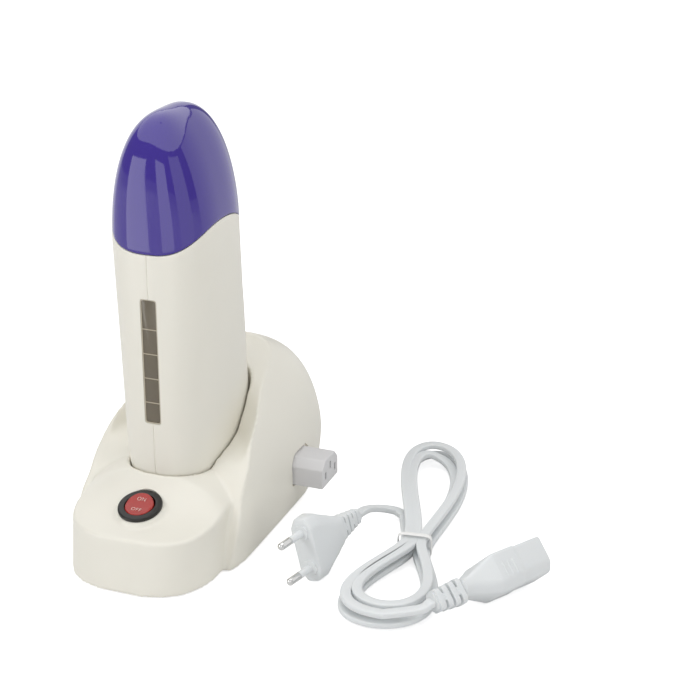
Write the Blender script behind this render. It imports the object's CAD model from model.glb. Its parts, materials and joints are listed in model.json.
"""Looks of a roll-on wax heater: a handset with a glossy lid in its docking base, and its mains lead.

Lengths inside the classes are millimetres in the part's own frame, and every mesh is written in metres.
"""

import json
import logging
import math
from dataclasses import dataclass, field
from enum import Enum
from typing import Iterable, Sequence

import bmesh
import bpy
from mathutils import Matrix, Vector

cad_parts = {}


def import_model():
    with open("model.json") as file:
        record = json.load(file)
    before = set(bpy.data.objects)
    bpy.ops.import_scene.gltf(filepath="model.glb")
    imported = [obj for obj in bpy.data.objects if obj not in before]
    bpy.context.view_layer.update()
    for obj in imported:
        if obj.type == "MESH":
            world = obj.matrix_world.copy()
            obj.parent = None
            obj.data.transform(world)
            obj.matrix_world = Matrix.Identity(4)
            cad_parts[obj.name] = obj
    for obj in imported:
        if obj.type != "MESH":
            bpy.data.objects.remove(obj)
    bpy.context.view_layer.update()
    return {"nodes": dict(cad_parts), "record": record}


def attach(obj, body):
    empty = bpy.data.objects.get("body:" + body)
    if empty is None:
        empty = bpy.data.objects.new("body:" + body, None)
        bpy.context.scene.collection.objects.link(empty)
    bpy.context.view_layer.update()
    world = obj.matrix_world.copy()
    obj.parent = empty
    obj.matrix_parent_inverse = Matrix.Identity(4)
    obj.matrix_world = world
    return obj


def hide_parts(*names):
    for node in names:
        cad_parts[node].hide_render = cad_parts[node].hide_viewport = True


LOG = logging.getLogger("wax_heater")
MM = 0.001
Point = tuple[float, float, float]
Row = list[Point]
Outline = list[tuple[float, float]]


class Body(str, Enum):
    """The moving bodies of the part."""

    BASE = "base"
    HANDSET = "handset"
    LID = "lid"
    ROCKER = "rocker"


class Side(Enum):
    """The two halves of the handset, by the sign of their x."""

    LEFT = -1
    RIGHT = 1


# ---- node and mesh tools -----------------------------------------------------------------------------------


def linear(hex_colour: str) -> tuple[float, float, float, float]:
    """Turns an sRGB hex colour into the linear colour that a shader takes.

    Args:
        hex_colour: Six hex digits, with or without a leading mark.

    Returns:
        Linear red, green, blue and an alpha of one.
    """
    digits = hex_colour.lstrip("#")
    parts = [int(digits[i : i + 2], 16) / 255 for i in (0, 2, 4)]
    red, green, blue = (
        c / 12.92 if c <= 0.04045 else ((c + 0.055) / 1.055) ** 2.4 for c in parts
    )
    return red, green, blue, 1.0


def place(
    tree: bpy.types.NodeTree, kind: str, inputs: dict | None = None, **settings: object
) -> bpy.types.Node:
    """Adds one node with its settings and links to a tree.

    Args:
        tree: The node tree that it goes into.
        kind: The node's type.
        inputs: A value, or the output socket to link, for each input's name or number.
        **settings: The node's own properties.

    Returns:
        The new node.
    """
    node = tree.nodes.new(kind)
    for name, value in settings.items():
        setattr(node, name, value)
    for name, value in (inputs or {}).items():
        if isinstance(value, bpy.types.NodeSocket):
            tree.links.new(value, node.inputs[name])
        else:
            node.inputs[name].default_value = value
    return node


def new_material(name: str) -> tuple[bpy.types.Material, bpy.types.NodeTree]:
    """Makes a material without nodes, and gives its tree with it."""
    material = bpy.data.materials.new(name)
    material.use_nodes = True
    material.node_tree.nodes.clear()
    return material, material.node_tree


def clouded(
    tree: bpy.types.NodeTree, colour: str, shade: float, scale: float, detail: float
) -> bpy.types.NodeSocket:
    """Colour that swims slowly between a colour and a darker one.

    Args:
        tree: The material's tree.
        colour: The colour in hex.
        shade: How much darker the darker one is, from 0 to 1.
        scale: Scale of the noise, per metre.
        detail: Detail of the noise.

    Returns:
        The colour's socket.
    """
    where = place(tree, "ShaderNodeTexCoord").outputs["Object"]
    noise = place(tree, "ShaderNodeTexNoise", {"Vector": where, "Scale": scale, "Detail": detail})
    base = linear(colour)
    dark = tuple(c * (1 - shade) for c in base[:3]) + (1.0,)
    inputs = {"Factor": noise.outputs["Fac"], 6: dark, 7: base}
    return place(tree, "ShaderNodeMix", inputs, data_type="RGBA").outputs[2]


def principled(tree: bpy.types.NodeTree, inputs: dict) -> None:
    """Ends a material's tree in a principled shader with the inputs given."""
    shader = place(tree, "ShaderNodeBsdfPrincipled", inputs)
    place(tree, "ShaderNodeOutputMaterial", {"Surface": shader.outputs["BSDF"]})


def geometry_tree(name: str, inputs: Sequence[tuple[str, str, object]], output: str) -> bpy.types.NodeTree:
    """Starts a geometry node tree.

    Args:
        name: The tree's name.
        inputs: Name, kind of socket and default of each input, or None where it has no default.
        output: Name of the geometry that comes out.

    Returns:
        The tree, with its sockets only.
    """
    tree = bpy.data.node_groups.new(name, "GeometryNodeTree")
    for label, kind, value in inputs:
        socket = tree.interface.new_socket(label, in_out="INPUT", socket_type=f"NodeSocket{kind}")
        if value is not None:
            socket.default_value = value
    tree.interface.new_socket(output, in_out="OUTPUT", socket_type="NodeSocketGeometry")
    return tree


def end_tree(
    tree: bpy.types.NodeTree, geometry: bpy.types.NodeSocket, material: bpy.types.NodeSocket, output: str
) -> None:
    """Ends a geometry tree with its instances made real and its material set."""
    real = place(tree, "GeometryNodeRealizeInstances", {"Geometry": geometry})
    inputs = {"Geometry": real.outputs["Geometry"], "Material": material}
    dressed = place(tree, "GeometryNodeSetMaterial", inputs)
    place(tree, "NodeGroupOutput", {output: dressed.outputs["Geometry"]})


def in_metres(at: Matrix) -> Matrix:
    """The same frame for a mesh that is in metres."""
    return Matrix.Translation(at.translation * MM) @ at.to_3x3().to_4x4()


def mesh_object(
    name: str,
    points: Iterable[Sequence[float]],
    faces: Iterable[Sequence[int]],
    at: Matrix | None = None,
) -> bpy.types.Object:
    """Makes an object at the origin from points in millimetres.

    Args:
        name: The piece's name.
        points: Its points in millimetres.
        faces: Its faces, as numbers of points.
        at: Where the points' own frame stands in the part's, in millimetres.

    Returns:
        The object, with its faces pointing outwards.
    """
    placed = [(at @ Vector(p) if at else Vector(p)) * MM for p in points]
    mesh = bpy.data.meshes.new(name)
    mesh.from_pydata(placed, [], list(faces))
    cleaned = bmesh.new()
    cleaned.from_mesh(mesh)
    bmesh.ops.remove_doubles(cleaned, verts=cleaned.verts, dist=1e-7)
    bmesh.ops.recalc_face_normals(cleaned, faces=cleaned.faces)
    cleaned.to_mesh(mesh)
    cleaned.free()
    made = bpy.data.objects.new(name, mesh)
    bpy.context.scene.collection.objects.link(made)
    return made


def bake(piece: bpy.types.Object) -> None:
    """Turns a piece and its modifiers into a plain mesh."""
    graph = bpy.context.evaluated_depsgraph_get()
    mesh = bpy.data.meshes.new_from_object(piece.evaluated_get(graph))
    piece.modifiers.clear()
    piece.data = mesh


def smooth(piece: bpy.types.Object, degrees: float = 35.0) -> None:
    """Shades a piece smooth, apart from edges that turn more than the angle."""
    piece.data.shade_smooth()
    piece.data.set_sharp_from_angle(angle=math.radians(degrees))


def soften(piece: bpy.types.Object, radius: float, degrees: float = 30.0, steps: int = 2) -> None:
    """Rounds a piece's edges.

    Args:
        piece: The piece.
        radius: Radius of the rounding in millimetres.
        degrees: Only edges that turn more than this are rounded.
        steps: Faces across the rounding.
    """
    bevel = piece.modifiers.new("edges", "BEVEL")
    bevel.width = radius * MM
    bevel.segments = steps
    bevel.limit_method = "ANGLE"
    bevel.angle_limit = math.radians(degrees)
    bevel.use_clamp_overlap = True
    bake(piece)
    smooth(piece, 40)


def combine(piece: bpy.types.Object, tools: Sequence[bpy.types.Object], operation: str) -> None:
    """Cuts a piece with tools, or joins them to it, and removes the tools.

    Args:
        piece: The piece that is changed.
        tools: Closed solids.
        operation: DIFFERENCE, UNION or INTERSECT.
    """
    for tool in tools:
        step = piece.modifiers.new("combine", "BOOLEAN")
        step.operation = operation
        step.solver = "EXACT"
        step.object = tool
        bake(piece)
        bpy.data.objects.remove(tool)


def loft(rows: Sequence[Row]) -> tuple[Row, list[tuple[int, ...]]]:
    """Closed solid through rings of as many points each.

    Args:
        rows: The rings, from one end to the other.

    Returns:
        Its points and faces, with a flat face at each end.
    """
    count = len(rows[0])
    faces: list[tuple[int, ...]] = [tuple(range(count))]
    for j in range(len(rows) - 1):
        for i in range(count):
            k = (i + 1) % count
            faces.append((j * count + i, (j + 1) * count + i, (j + 1) * count + k, j * count + k))
    last = (len(rows) - 1) * count
    faces.append(tuple(last + i for i in reversed(range(count))))
    return [p for row in rows for p in row], faces


def shell(
    outer: Sequence[Row], inner: Sequence[Row], closed: bool, capped: bool
) -> tuple[Row, list[tuple[int, ...]]]:
    """Closed wall between two grids of points.

    Args:
        outer: Rows of the outer surface, from its foot to its top.
        inner: As many rows of the inner surface.
        closed: Whether the rows go all the way round.
        capped: Whether the last row of each grid is closed over, as on a dome.

    Returns:
        The wall's points and faces.
    """
    rows, count = len(outer), len(outer[0])
    points = [p for row in outer for p in row] + [p for row in inner for p in row]
    inside = rows * count
    faces: list[tuple[int, ...]] = []
    for j in range(rows - 1):
        for i in range(count if closed else count - 1):
            k = (i + 1) % count
            a, b, c, d = j * count + i, j * count + k, (j + 1) * count + k, (j + 1) * count + i
            faces.append((a, b, c, d))
            faces.append((inside + d, inside + c, inside + b, inside + a))
        if not closed:
            for i in (0, count - 1):
                a, b = j * count + i, (j + 1) * count + i
                faces.append((a, b, inside + b, inside + a))
    for j in (0,) if capped else (0, rows - 1):
        for i in range(count if closed else count - 1):
            k = (i + 1) % count
            a, b = j * count + i, j * count + k
            faces.append((a, inside + a, inside + b, b))
    if capped:
        for first in ((rows - 1) * count, inside + (rows - 1) * count):
            ring = points[first : first + count]
            points.append(tuple(sum(p[n] for p in ring) / count for n in range(3)))
            middle = len(points) - 1
            faces.extend((first + i, first + (i + 1) % count, middle) for i in range(count))
    return points, faces


def lathe(profile: Sequence[tuple[float, float]], steps: int) -> tuple[Row, list[tuple[int, ...]]]:
    """Solid turned about z.

    Args:
        profile: Radius and height of each corner, from the foot's middle to the top's middle.
        steps: Faces round the axis.

    Returns:
        Its points and faces.
    """
    rows = [
        [
            (r * math.cos(math.tau * i / steps), r * math.sin(math.tau * i / steps), z)
            for i in range(steps)
        ]
        for r, z in profile
    ]
    return loft(rows)


def rounded(corners: Sequence[tuple[float, float]], radius: float, steps: int = 3) -> Outline:
    """Outline with rounded corners.

    Args:
        corners: The outline's corners.
        radius: How far from each corner the rounding starts.
        steps: Points across each rounding, less one.

    Returns:
        The rounded outline.
    """
    made = []
    for i, corner in enumerate(corners):
        here = Vector(corner)
        back, ahead = Vector(corners[i - 1]) - here, Vector(corners[(i + 1) % len(corners)]) - here
        start = here + back.normalized() * min(radius, back.length * 0.45)
        end = here + ahead.normalized() * min(radius, ahead.length * 0.45)
        for k in range(steps + 1):
            u = k / steps
            p = start * (1 - u) ** 2 + here * 2 * u * (1 - u) + end * u * u
            made.append((p.x, p.y))
    return made


def box_tool(low: Point, high: Point, at: Matrix | None = None) -> bpy.types.Object:
    """Box to cut with, from its two corners in millimetres."""
    xs, ys, zs = zip(low, high)
    points = [(x, y, z) for x in xs for y in ys for z in zs]
    faces = [(0, 1, 3, 2), (4, 6, 7, 5), (0, 4, 5, 1), (2, 3, 7, 6), (0, 2, 6, 4), (1, 5, 7, 3)]
    return mesh_object("tool", points, faces, at)


def bore_tool(radius: float, low: float, high: float, at: Matrix, steps: int = 64) -> bpy.types.Object:
    """Round bar to cut with, along the z of the frame given."""
    return mesh_object("tool", *lathe([(radius, low), (radius, high)], steps), at)


def turned(place_mm: Point, *turns: tuple[float, str]) -> Matrix:
    """Frame at a place, turned by each angle in degrees about the axis named with it."""
    at = Matrix.Translation(place_mm)
    for degrees, axis in turns:
        at = at @ Matrix.Rotation(math.radians(degrees), 4, axis)
    return at


def finish_piece(
    piece: bpy.types.Object,
    body: Body,
    material: bpy.types.Material,
    slot: str,
    *nodes: str,
) -> bpy.types.Object:
    """Gives a piece its material, body and material slot, and says what it stands for.

    Args:
        piece: The finished piece.
        body: The body that it moves with.
        material: Its material.
        slot: The record's name of its finish.
        *nodes: The construction pieces that it stands for.

    Returns:
        The same piece.
    """
    piece.data.materials.clear()
    piece.data.materials.append(material)
    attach(piece, body.value)
    if nodes:
        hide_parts(*nodes)
    LOG.info("%s: %d faces on %s", piece.name, len(piece.data.polygons), body.value)
    return piece


# ---- finishes ----------------------------------------------------------------------------------------------


@dataclass(frozen=True)
class MouldedPlastic:
    """Injection-moulded plastic, with a fine spark-eroded grain and slight unevenness in its gloss."""

    name: str
    colour: str
    roughness: float = 0.42
    ior: float = 1.53
    grain: float = 0.7
    grain_depth: float = 0.006
    waviness: float = 0.0
    shade: float = 0.035
    coat: float = 0.0
    subsurface: float = 0.0

    def build(self) -> bpy.types.Material:
        """Builds the material.

        Returns:
            The material.
        """
        material, tree = new_material(self.name)
        where = place(tree, "ShaderNodeTexCoord").outputs["Object"]
        # slow unevenness of the melt, over a few centimetres, and the mould's grain
        tint = clouded(tree, self.colour, self.shade, 38.0, 3.0)
        grain = place(
            tree,
            "ShaderNodeTexNoise",
            {"Vector": where, "Scale": 1 / (self.grain * MM), "Detail": 2.0, "Roughness": 0.6},
        )
        gloss = place(
            tree,
            "ShaderNodeMapRange",
            {
                "Value": grain.outputs["Fac"],
                "From Min": 0.3,
                "From Max": 0.7,
                "To Min": max(0.02, self.roughness - 0.05),
                "To Max": self.roughness + 0.05,
            },
        )
        bump = place(
            tree,
            "ShaderNodeBump",
            {
                "Height": grain.outputs["Fac"],
                "Strength": 0.5,
                "Distance": self.grain_depth * MM,
            },
        )
        normal = bump.outputs["Normal"]
        if self.waviness:
            wave = place(tree, "ShaderNodeTexNoise", {"Vector": where, "Scale": 60.0, "Detail": 1.0})
            normal = place(
                tree,
                "ShaderNodeBump",
                {
                    "Height": wave.outputs["Fac"],
                    "Strength": 0.6,
                    "Distance": self.waviness * MM,
                    "Normal": normal,
                },
            ).outputs["Normal"]
        principled(
            tree,
            {
                "Base Color": tint,
                "Roughness": gloss.outputs["Result"],
                "IOR": self.ior,
                "Normal": normal,
                "Coat Weight": self.coat,
                "Coat Roughness": 0.04,
                "Subsurface Weight": self.subsurface,
                "Subsurface Radius": (0.6, 0.5, 0.4),
                "Subsurface Scale": 0.002,
            },
        )
        return material


@dataclass(frozen=True)
class TintedWindow:
    """Smoky clear polycarbonate, polished in the mould: partly seen through, with a soft sheen."""

    name: str
    colour: str
    see_through: float = 0.45

    def build(self) -> bpy.types.Material:
        """Builds the material.

        Returns:
            The material.
        """
        material, tree = new_material(self.name)
        tint = clouded(tree, self.colour, 0.15, 120.0, 3.0)
        look = {"Base Color": tint, "Roughness": 0.16, "IOR": 1.58, "Transmission Weight": self.see_through}
        principled(tree, look)
        return material


@dataclass(frozen=True)
class GlowingLens:
    """Translucent red polycarbonate with a small lamp behind it: deep colour that lights itself a little."""

    name: str
    colour: str
    glow: float = 0.15

    def build(self) -> bpy.types.Material:
        """Builds the material.

        Returns:
            The material.
        """
        material, tree = new_material(self.name)
        tint = clouded(tree, self.colour, 0.2, 220.0, 2.0)
        look = {"Base Color": tint, "Roughness": 0.2, "IOR": 1.58}
        principled(tree, look | {"Emission Color": linear(self.colour), "Emission Strength": self.glow})
        return material


@dataclass(frozen=True)
class BareMetal:
    """Bare or plated metal, with the fine drawn lines of its sheet or wire."""

    name: str
    colour: str
    roughness: float = 0.25
    lines: float = 0.3

    def build(self) -> bpy.types.Material:
        """Builds the material.

        Returns:
            The material.
        """
        material, tree = new_material(self.name)
        where = place(tree, "ShaderNodeTexCoord").outputs["Object"]
        stretched = place(tree, "ShaderNodeMapping", {"Vector": where, "Scale": (1.0, 1.0, 12.0)})
        lines = place(
            tree,
            "ShaderNodeTexNoise",
            {"Vector": stretched.outputs["Vector"], "Scale": 1 / (self.lines * MM), "Detail": 3.0},
        )
        gloss = place(
            tree,
            "ShaderNodeMapRange",
            {
                "Value": lines.outputs["Fac"],
                "To Min": self.roughness * 0.7,
                "To Max": self.roughness * 1.4,
            },
        )
        bump = place(
            tree,
            "ShaderNodeBump",
            {"Height": lines.outputs["Fac"], "Strength": 0.25, "Distance": 0.01 * MM},
        )
        principled(
            tree,
            {
                "Base Color": linear(self.colour),
                "Metallic": 1.0,
                "Roughness": gloss.outputs["Result"],
                "Normal": bump.outputs["Normal"],
            },
        )
        return material


@dataclass
class FinishSet:
    """Every finish of the heater, built once."""

    made: dict[str, bpy.types.Material] = field(default_factory=dict)

    def __post_init__(self) -> None:
        """Builds the finishes by the record's slot names."""
        finishes = {
            # ABS housing: warm ivory, satin from a fine spark-eroded mould
            "ivory_abs": MouldedPlastic(
                "ivory_moulded_abs", "#eeebe0", 0.36, grain_depth=0.005, subsurface=0.04
            ),
            # plain ABS bottom plate, unpolished
            "grey_abs": MouldedPlastic("grey_moulded_abs", "#8d8b86", 0.55),
            # polyamide switch and blocks: near black, half glossy
            "black_pa": MouldedPlastic("black_polyamide", "#0e0b08", 0.36, grain_depth=0.003),
            # rubber feet: matt black with a coarse skin
            "rubber": MouldedPlastic("black_rubber", "#1b1b1b", 0.75, grain=1.2, grain_depth=0.03),
            "zinc_steel": BareMetal("zinc_plated_steel", "#b4b6ba", 0.3),
            "tin_brass": BareMetal("tinned_brass", "#cfc8ae", 0.3),
            # translucent polycarbonate rocker and pilot lamp
            "red_lens": GlowingLens("red_lit_polycarbonate", "#a81c10", 0.05),
            # side socket: cool grey-white PVC, a shade darker than the lead
            "cool_grey_pvc": MouldedPlastic("cool_grey_pvc", "#dddcdd", 0.4),
            "brass": BareMetal("bare_brass", "#d6b266", 0.22),
            # soft PVC of the lead: cool white, waxy
            "white_pvc": MouldedPlastic(
                "white_soft_pvc", "#e6e9ea", 0.38, grain=0.5, grain_depth=0.004, subsurface=0.05
            ),
            "smoky_window": TintedWindow("smoky_polycarbonate", "#8f8470"),
            "aluminium": BareMetal("aluminium_sheet", "#c6c8cc", 0.32),
            "ceramic": MouldedPlastic("insulated_ceramic", "#c5a678", 0.6),
            "spring_steel": BareMetal("spring_steel", "#9ba0a8", 0.28),
            # polished polypropylene lid: deep purple, mirror-like, with the slight swim of a large moulding
            "purple_lid": MouldedPlastic(
                "purple_polished_lid",
                "#413093",
                0.06,
                ior=1.5,
                grain=0.9,
                grain_depth=0.0006,
                waviness=0.05,
                shade=0.06,
                coat=0.35,
            ),
            "nickel": BareMetal("nickel_plated_brass", "#dcdcdb", 0.08),
            # paper-covered wire tie
            "tie": MouldedPlastic("paper_tie", "#f4f4f2", 0.6, grain=0.4, grain_depth=0.02),
        }
        for slot, finish in finishes.items():
            self.made[slot] = finish.build()
        # finishes of small pieces that the record has no slot for
        self.made["lettering"] = MouldedPlastic("white_print", "#ffd9d0", 0.5).build()
        self.made["window_edge"] = MouldedPlastic("clear_window_edge", "#c4bba8", 0.25).build()
        self.made["window_line"] = MouldedPlastic("etched_level_line", "#b3a893", 0.4).build()

    def __getitem__(self, slot: str) -> bpy.types.Material:
        """The finish of a material slot."""
        return self.made[slot]


# ---- the mains lead ----------------------------------------------------------------------------------------


@dataclass
class MainsLead:
    """The free lead: two-pin plug, flat cord in a tied hank, and the appliance connector."""

    finishes: FinishSet
    cord_w: float = 5.4
    cord_t: float = 3.2
    plug_place: Point = (82.6, -45.7, 17.3)
    plug_heading: float = 77.8
    plug_roll: float = -16.5
    plug_sink: float = -1.3
    plug_h: float = 34.0
    plug_t: float = 13.7
    plug_body: float = 28.0
    plug_relief: float = 20.0
    pin_d: float = 4.0
    pin_pitch: float = 19.0
    pin_l: float = 19.0
    sleeve_l: float = 10.0
    waist: tuple[float, float] = (127.5, -2.7)
    heading: float = 97.5
    lean: float = 5.5
    start: float = 0.19
    end: float = 3.508
    reverse: float = 2.0
    upper_fold: float = 123.0
    lower_fold: float = 79.0
    fold_step: float = 8.0
    upper_belly: float = 37.0
    lower_belly: float = 44.0
    belly_step: float = 4.5
    ease: float = 0.15
    warp: float = 8.0
    climb: float = 0.15
    end_run: float = 2.5
    end_flat: float = 2.0
    connector_place: Point = (156.6, -65.0, 13.8)
    connector_heading: float = 58.3
    connector_roll: float = -45.0
    connector_relief: float = 17.0
    neck: float = 18.0
    connector_l: float = 50.0
    nose: tuple[float, float] = (22.8, 15.6)
    nose_reach: float = 17.0
    shroud: float = 1.6
    contacts: tuple[tuple[float, float], ...] = ((-6.7, -1.4), (6.7, -1.4), (0.0, 2.4))
    turn_rings: int = 170

    def layers(self) -> tuple[float, float]:
        """Heights of the hank's two layers."""
        return self.cord_w / 2 + 1.3, 1.5 * self.cord_w + 1.9

    def hank(self, t: float) -> Vector:
        """Point on the hank's route.

        Args:
            t: Turns from the spiral's start.

        Returns:
            The point in millimetres.
        """
        w = math.radians(360 * t - self.warp * math.sin(math.radians(1440 * t)))
        s = t if t < self.reverse else 2 * self.reverse - t
        upper = math.cos(w) > 0
        fold = (self.upper_fold if upper else self.lower_fold) - self.fold_step * s
        belly = (self.upper_belly if upper else self.lower_belly) - self.belly_step * s
        step = self.cord_t + 0.6
        along = fold * math.cos(w)
        swell = math.hypot(math.cos(w), self.ease) - self.ease
        across = -math.sin(w) * (2.03 * step - step * s + belly * swell)
        turn = math.radians(self.heading + self.lean * math.cos(w))
        u = min(1.0, max(0.0, (t - self.reverse + self.climb) / (2 * self.climb)))
        low, high = self.layers()
        return Vector(
            (
                self.waist[0] + along * math.cos(turn) + across * math.sin(turn),
                self.waist[1] + along * math.sin(turn) - across * math.cos(turn),
                low + (high - low) * u * u * (3 - 2 * u),
            )
        )

    def hank_direction(self, t: float) -> Vector:
        """Direction of the hank's route at a turn."""
        return (self.hank(t + 0.002) - self.hank(t - 0.002)).normalized()

    @staticmethod
    def bend(points: Sequence[Vector], steps: int) -> list[Vector]:
        """Route rounded through the points given.

        Args:
            points: The points that it passes.
            steps: Stretches between each two of them.

        Returns:
            The rounded route.
        """
        made = [points[0]]
        for i in range(len(points) - 1):
            p0, p1 = points[max(i - 1, 0)], points[i]
            p2, p3 = points[i + 1], points[min(i + 2, len(points) - 1)]
            for k in range(1, steps + 1):
                u = k / steps
                made.append(
                    0.5
                    * (
                        2 * p1
                        + (p2 - p0) * u
                        + (2 * p0 - 5 * p1 + 4 * p2 - p3) * u * u
                        + (3 * p1 - p0 - 3 * p2 + p3) * u**3
                    )
                )
        return made

    def route(self) -> list[Vector]:
        """The cord's whole route, from the plug's strain relief to the connector's.

        Returns:
            Points in millimetres.
        """
        heading, sink = math.radians(self.plug_heading), math.radians(self.plug_sink)
        out = Vector(
            (math.cos(heading) * math.cos(sink), math.sin(heading) * math.cos(sink), math.sin(sink))
        )
        leave = Vector(self.plug_place) + (self.plug_body + self.plug_relief) * out
        first, last = self.hank_direction(self.start), self.hank_direction(self.end)
        enter = self.hank(self.start) - first * self.end_run
        exit_ = self.hank(self.end) + last * self.end_run
        turn = math.radians(self.connector_heading)
        into = Vector((math.cos(turn), math.sin(turn), 0))
        arrive = Vector(self.connector_place)
        plug_tail = [leave] + self.bend(
            [
                leave + out * self.end_flat,
                Vector((93.5, 12, 14)),
                Vector((94.2, 21, 10.4)),
                Vector((97.6, 29, 7)),
                Vector((103.4, 33, 4.8)),
                enter - first * 2.5 * self.end_flat,
                enter - first * self.end_flat,
            ],
            8,
        )
        count = math.ceil((self.end - self.start) * self.turn_rings)
        turns = [self.hank(self.start + (self.end - self.start) * i / count) for i in range(count + 1)]
        connector_tail = self.bend(
            [exit_ + last * self.end_flat, Vector((151.5, -70, 11.6)), arrive - into * self.end_flat], 8
        ) + [arrive]
        return plug_tail + [enter] + turns + [exit_] + connector_tail

    def cord_tree(self) -> bpy.types.NodeTree:
        """Node tree that sweeps the flat cord's section along a route.

        Returns:
            The tree, with the section's width, thickness and corner radius as inputs.
        """
        tree = geometry_tree(
            "flat_cord",
            [
                ("Route", "Geometry", None),
                ("Width", "Float", self.cord_w * MM),
                ("Thickness", "Float", self.cord_t * MM),
                ("Corner", "Float", self.cord_t * 0.28 * MM),
                ("Sheath", "Material", None),
            ],
            "Cord",
        )
        given = place(tree, "NodeGroupInput").outputs
        curve = place(tree, "GeometryNodeMeshToCurve", {"Mesh": given["Route"]})
        upright = place(
            tree, "GeometryNodeSetCurveNormal", {"Curve": curve.outputs["Curve"]}, mode="Z_UP"
        )
        section = place(
            tree,
            "GeometryNodeCurvePrimitiveQuadrilateral",
            {"Width": given["Width"], "Height": given["Thickness"]},
        )
        rounded_section = place(
            tree,
            "GeometryNodeFilletCurve",
            {"Curve": section.outputs["Curve"], "Radius": given["Corner"]},
        )
        if "Mode" in rounded_section.inputs:
            rounded_section.inputs["Mode"].default_value = "Poly"
        else:
            rounded_section.mode = "POLY"
        rounded_section.inputs["Count"].default_value = 4
        sweep = place(
            tree,
            "GeometryNodeCurveToMesh",
            {
                "Curve": upright.outputs["Curve"],
                "Profile Curve": rounded_section.outputs["Curve"],
                "Fill Caps": True,
            },
        )
        end_tree(tree, sweep.outputs["Mesh"], given["Sheath"], "Cord")
        return tree

    def cord(self) -> bpy.types.Object:
        """Makes the flat cord in one piece.

        Returns:
            The cord.
        """
        route = self.route()
        mesh = bpy.data.meshes.new("flat_cord")
        mesh.from_pydata([p * MM for p in route], [(i, i + 1) for i in range(len(route) - 1)], [])
        piece = bpy.data.objects.new("flat_cord", mesh)
        bpy.context.scene.collection.objects.link(piece)
        run_tree(piece, self.cord_tree(), {"Sheath": self.finishes["white_pvc"]})
        smooth(piece, 60)
        solids = ("cord_plug_tail", "cord_hank", "cord_connector_tail")
        return finish_piece(piece, Body.BASE, self.finishes["white_pvc"], "white_pvc", *solids)

    def at_plug(self) -> Matrix:
        """Frame of the plug: x from its face towards the cord, z across its pins."""
        return turned(
            self.plug_place, (self.plug_heading, "Z"), (-self.plug_sink, "Y"), (self.plug_roll, "X")
        )

    def at_connector(self) -> Matrix:
        """Frame of the connector: x from the cord's entry to its open end."""
        return turned(self.connector_place, (self.connector_heading, "Z"), (self.connector_roll, "X"))

    @staticmethod
    def cheek(h: float, t: float, point: float) -> Outline:
        """Eight-cornered outline of the plug, across its thickness and its height."""
        a, b = t / 2, h / 2
        return [
            (-a, -b + point),
            (-a + point * 0.6, -b),
            (a - point * 0.6, -b),
            (a, -b + point),
            (a, b - point),
            (a - point * 0.6, b),
            (-a + point * 0.6, b),
            (-a, b - point),
        ]

    def plug(self) -> bpy.types.Object:
        """Makes the plug's body, with the bosses round its pins.

        Returns:
            The plug's body.
        """
        stations = [
            (0.0, self.plug_h - 1.6, self.plug_t - 1.6, 5.2, 1.0),
            (0.35, self.plug_h - 0.5, self.plug_t - 0.5, 5.4, 1.1),
            (1.1, self.plug_h, self.plug_t, 5.5, 1.2),
            (4.0, self.plug_h, self.plug_t + 0.3, 5.5, 1.4),
            (8.0, self.plug_h, self.plug_t + 0.6, 5.5, 1.6),
            (9.5, self.plug_h * 0.965, self.plug_t + 0.55, 5.4, 1.8),
            (12.5, self.plug_h * 0.87, self.plug_t + 0.4, 5.1, 2.0),
            (16.0, self.plug_h * 0.765, self.plug_t + 0.2, 4.8, 2.0),
            (20.0, self.plug_h * 0.66, self.plug_t, 4.5, 2.0),
            (23.5, self.plug_h * 0.55, self.plug_t - 1.0, 3.9, 1.8),
            (26.5, 16.4, 11.6, 3.2, 1.5),
            (27.6, 15.4, 11.0, 3.0, 1.3),
            (27.98, 14.2, 9.8, 2.8, 1.2),
        ]
        rows = [
            [(x, p[0], p[1]) for p in rounded(self.cheek(h, t, point), r)]
            for x, h, t, point, r in stations
        ]
        body = mesh_object("plug_shell", *loft(rows), self.at_plug())
        bosses = []
        for sign in (-1, 1):
            z = sign * self.pin_pitch / 2
            # each pin stands in a shallow boss that runs to a point towards the plug's middle
            ring = [(4.6, 1.2), (2.8, 3.8), (-2.8, 3.8), (-4.6, 1.2), (-3.4, -3.2), (0.0, -4.4), (3.4, -3.2)]
            ring = [(y, z + sign * dz) for y, dz in ring]
            rows = [
                [(x, y * k, z + (dz - z) * k) for y, dz in rounded(ring, 0.9, 2)]
                for x, k in ((1.0, 1.0), (-0.35, 1.0), (-0.75, 0.93))
            ]
            bosses.append(mesh_object("boss", *loft(rows), self.at_plug()))
        combine(body, bosses, "UNION")
        smooth(body, 30)
        return finish_piece(body, Body.BASE, self.finishes["white_pvc"], "white_pvc", "plug_body")

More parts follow.
